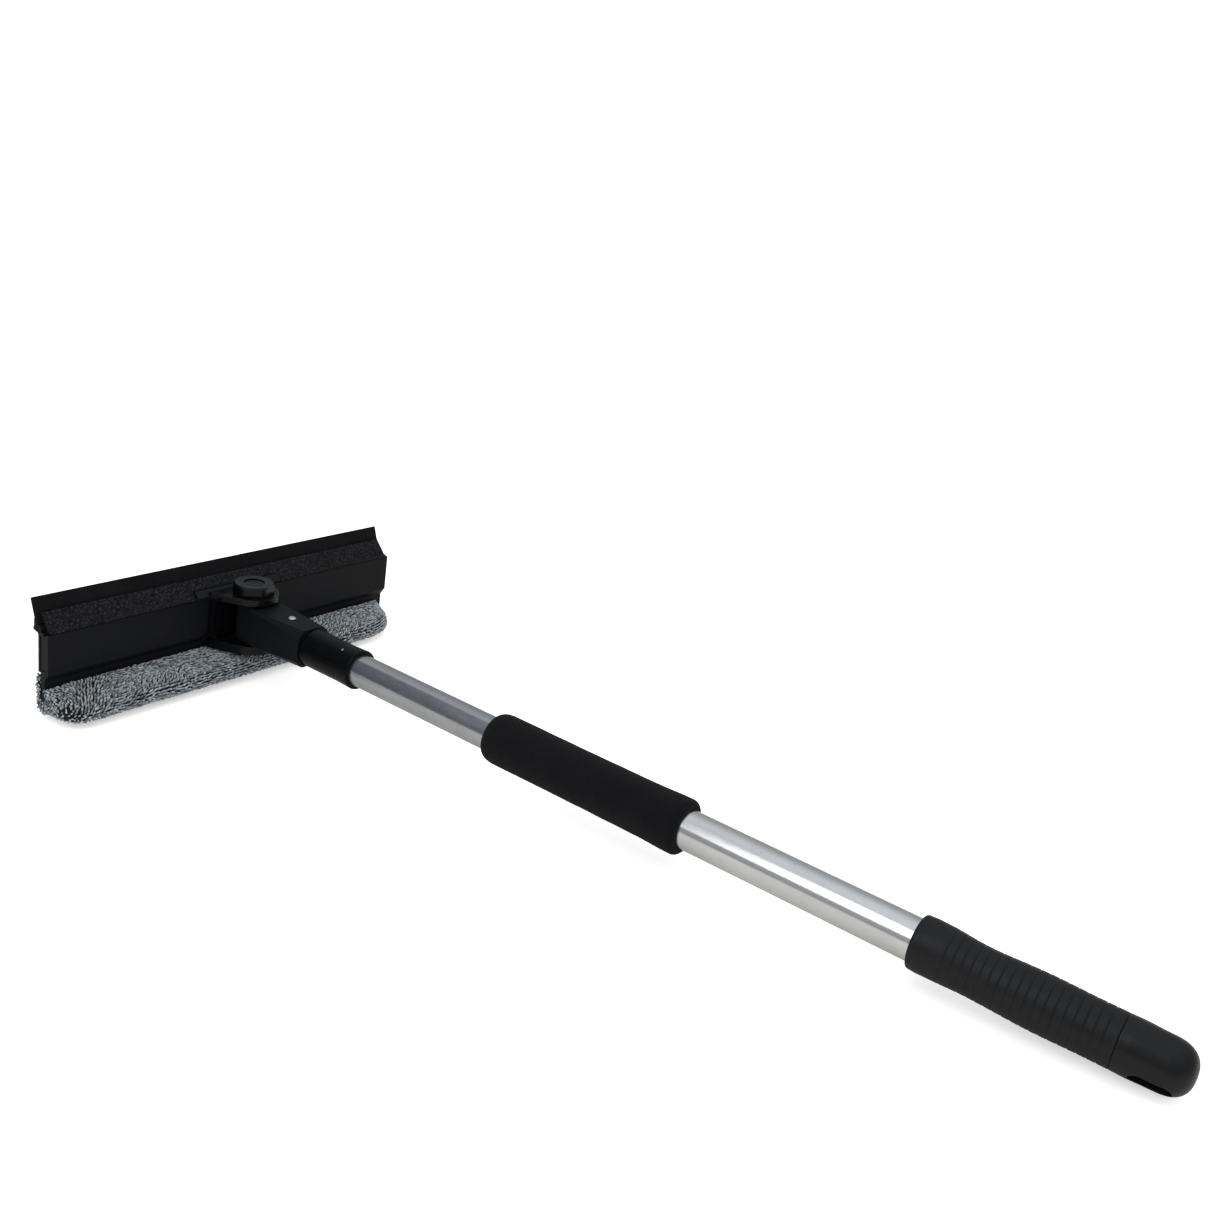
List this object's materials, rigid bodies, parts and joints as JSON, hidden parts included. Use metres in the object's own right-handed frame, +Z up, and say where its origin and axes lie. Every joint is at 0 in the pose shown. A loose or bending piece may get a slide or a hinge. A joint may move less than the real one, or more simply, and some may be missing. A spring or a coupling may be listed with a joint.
{
  "type": "window cleaning pole",
  "caption": "Telescopic hand pole with a swivelling head that carries a rubber squeegee blade on top and a microfibre scrubber pad below.",
  "frame": {"origin": "centre of the flat scrubbing face under the head", "axes": "+X along the head, +Y from the handle towards the head, +Z up, on the side of the clamp knob and of the blade's working edge"},
  "size_m": [0.251, 0.5797, 0.0651],
  "materials": {
    "head_plastic": "satin black moulded plastic",
    "grained_plastic": "black plastic with a spark-eroded grain",
    "blade_rubber": "matt black rubber",
    "foam_core": "open-cell foam",
    "microfibre": "blue-grey looped microfibre",
    "bracket_plastic": "semi-gloss black",
    "knob_plastic": "semi-gloss black",
    "cap_plastic": "gloss black",
    "yoke_plastic": "satin black",
    "ferrule_plastic": "semi-gloss black",
    "button_steel": "bright",
    "spring_steel": "plain spring steel",
    "steel": "zinc plated",
    "nylon": "natural nylon",
    "lock_plastic": "dark grey plastic",
    "inner_aluminium": "satin anodised, fine drawing lines",
    "outer_aluminium": "satin anodised, fine drawing lines",
    "foam_rubber": "matt closed-cell foam with fine pores",
    "grip_rubber": "satin black with turned grooves",
    "end_plastic": "semi-gloss black"
  },
  "bodies": {
    "handle": {"outer_tube": "outer_aluminium", "mouth_cap": "ferrule_plastic", "foam_grip": "foam_rubber", "handle_grip": "grip_rubber", "handle_end": "end_plastic"},
    "lock_sleeve": {"lock_sleeve": "nylon"},
    "lock_cone": {"lock_cone": "lock_plastic"},
    "upper_pole": {"inner_tube": "inner_aluminium", "lock_screw": "lock_plastic", "lock_clip": "steel", "ferrule": "ferrule_plastic", "ferrule_pins": "steel", "yoke": "yoke_plastic"},
    "snap_button": {"snap_button": "button_steel", "button_spring": "spring_steel"},
    "head": {"head_body": "head_plastic", "end_plugs": "head_plastic", "blade_clamp": "grained_plastic", "squeegee_blade": "blade_rubber", "scrubber_core": "foam_core", "scrubber_sleeve": "microfibre", "swivel_bracket": "bracket_plastic", "bracket_screws": "steel", "pivot_nut": "steel", "friction_washers": "nylon"},
    "knob_washer": {"knob_washer": "steel"},
    "clamp_knob": {"clamp_knob": "knob_plastic", "knob_cap": "cap_plastic", "pivot_bolt": "steel"}
  },
  "joints": [
    {"name": "telescope", "type": "slide", "parent": "handle", "child": "lock_sleeve", "axis": [0, 1, 0], "range_m": [-0.098, 0.105]},
    {"name": "pole_twist", "type": "hinge", "parent": "lock_sleeve", "child": "upper_pole", "pos_m": [0, -0.3, 0.035], "axis": [0, 1, 0], "range_deg": [0, 180]},
    {"name": "cone_draw", "type": "slide", "parent": "lock_sleeve", "child": "lock_cone", "axis": [0, 1, 0], "range_m": [-0.0011, 0.0001]},
    {"name": "head_swivel", "type": "hinge", "parent": "upper_pole", "child": "head", "pos_m": [0, -0.00595, 0.035], "axis": [0, 0, 1], "range_deg": [-75, 75]},
    {"name": "knob_lift", "type": "slide", "parent": "head", "child": "knob_washer", "axis": [0, 0, 1], "range_m": [0, 0.0011]},
    {"name": "knob_turn", "type": "hinge", "parent": "knob_washer", "child": "clamp_knob", "pos_m": [0, -0.00595, 0.055], "axis": [0, 0, 1], "range_deg": [0, 360]},
    {"name": "button_press", "type": "slide", "parent": "upper_pole", "child": "snap_button", "axis": [0, 0, -1], "range_m": [0, 0.0034], "stiffness_N_per_m": 2500, "springref_m": -0.002, "deforming": ["button_spring"]}
  ],
  "couplings": [
    {"joint": "cone_draw", "follows": "pole_twist", "m_per_rad": -0.00031831},
    {"joint": "knob_lift", "follows": "knob_turn", "m_per_rad": 0.00015915}
  ]
}
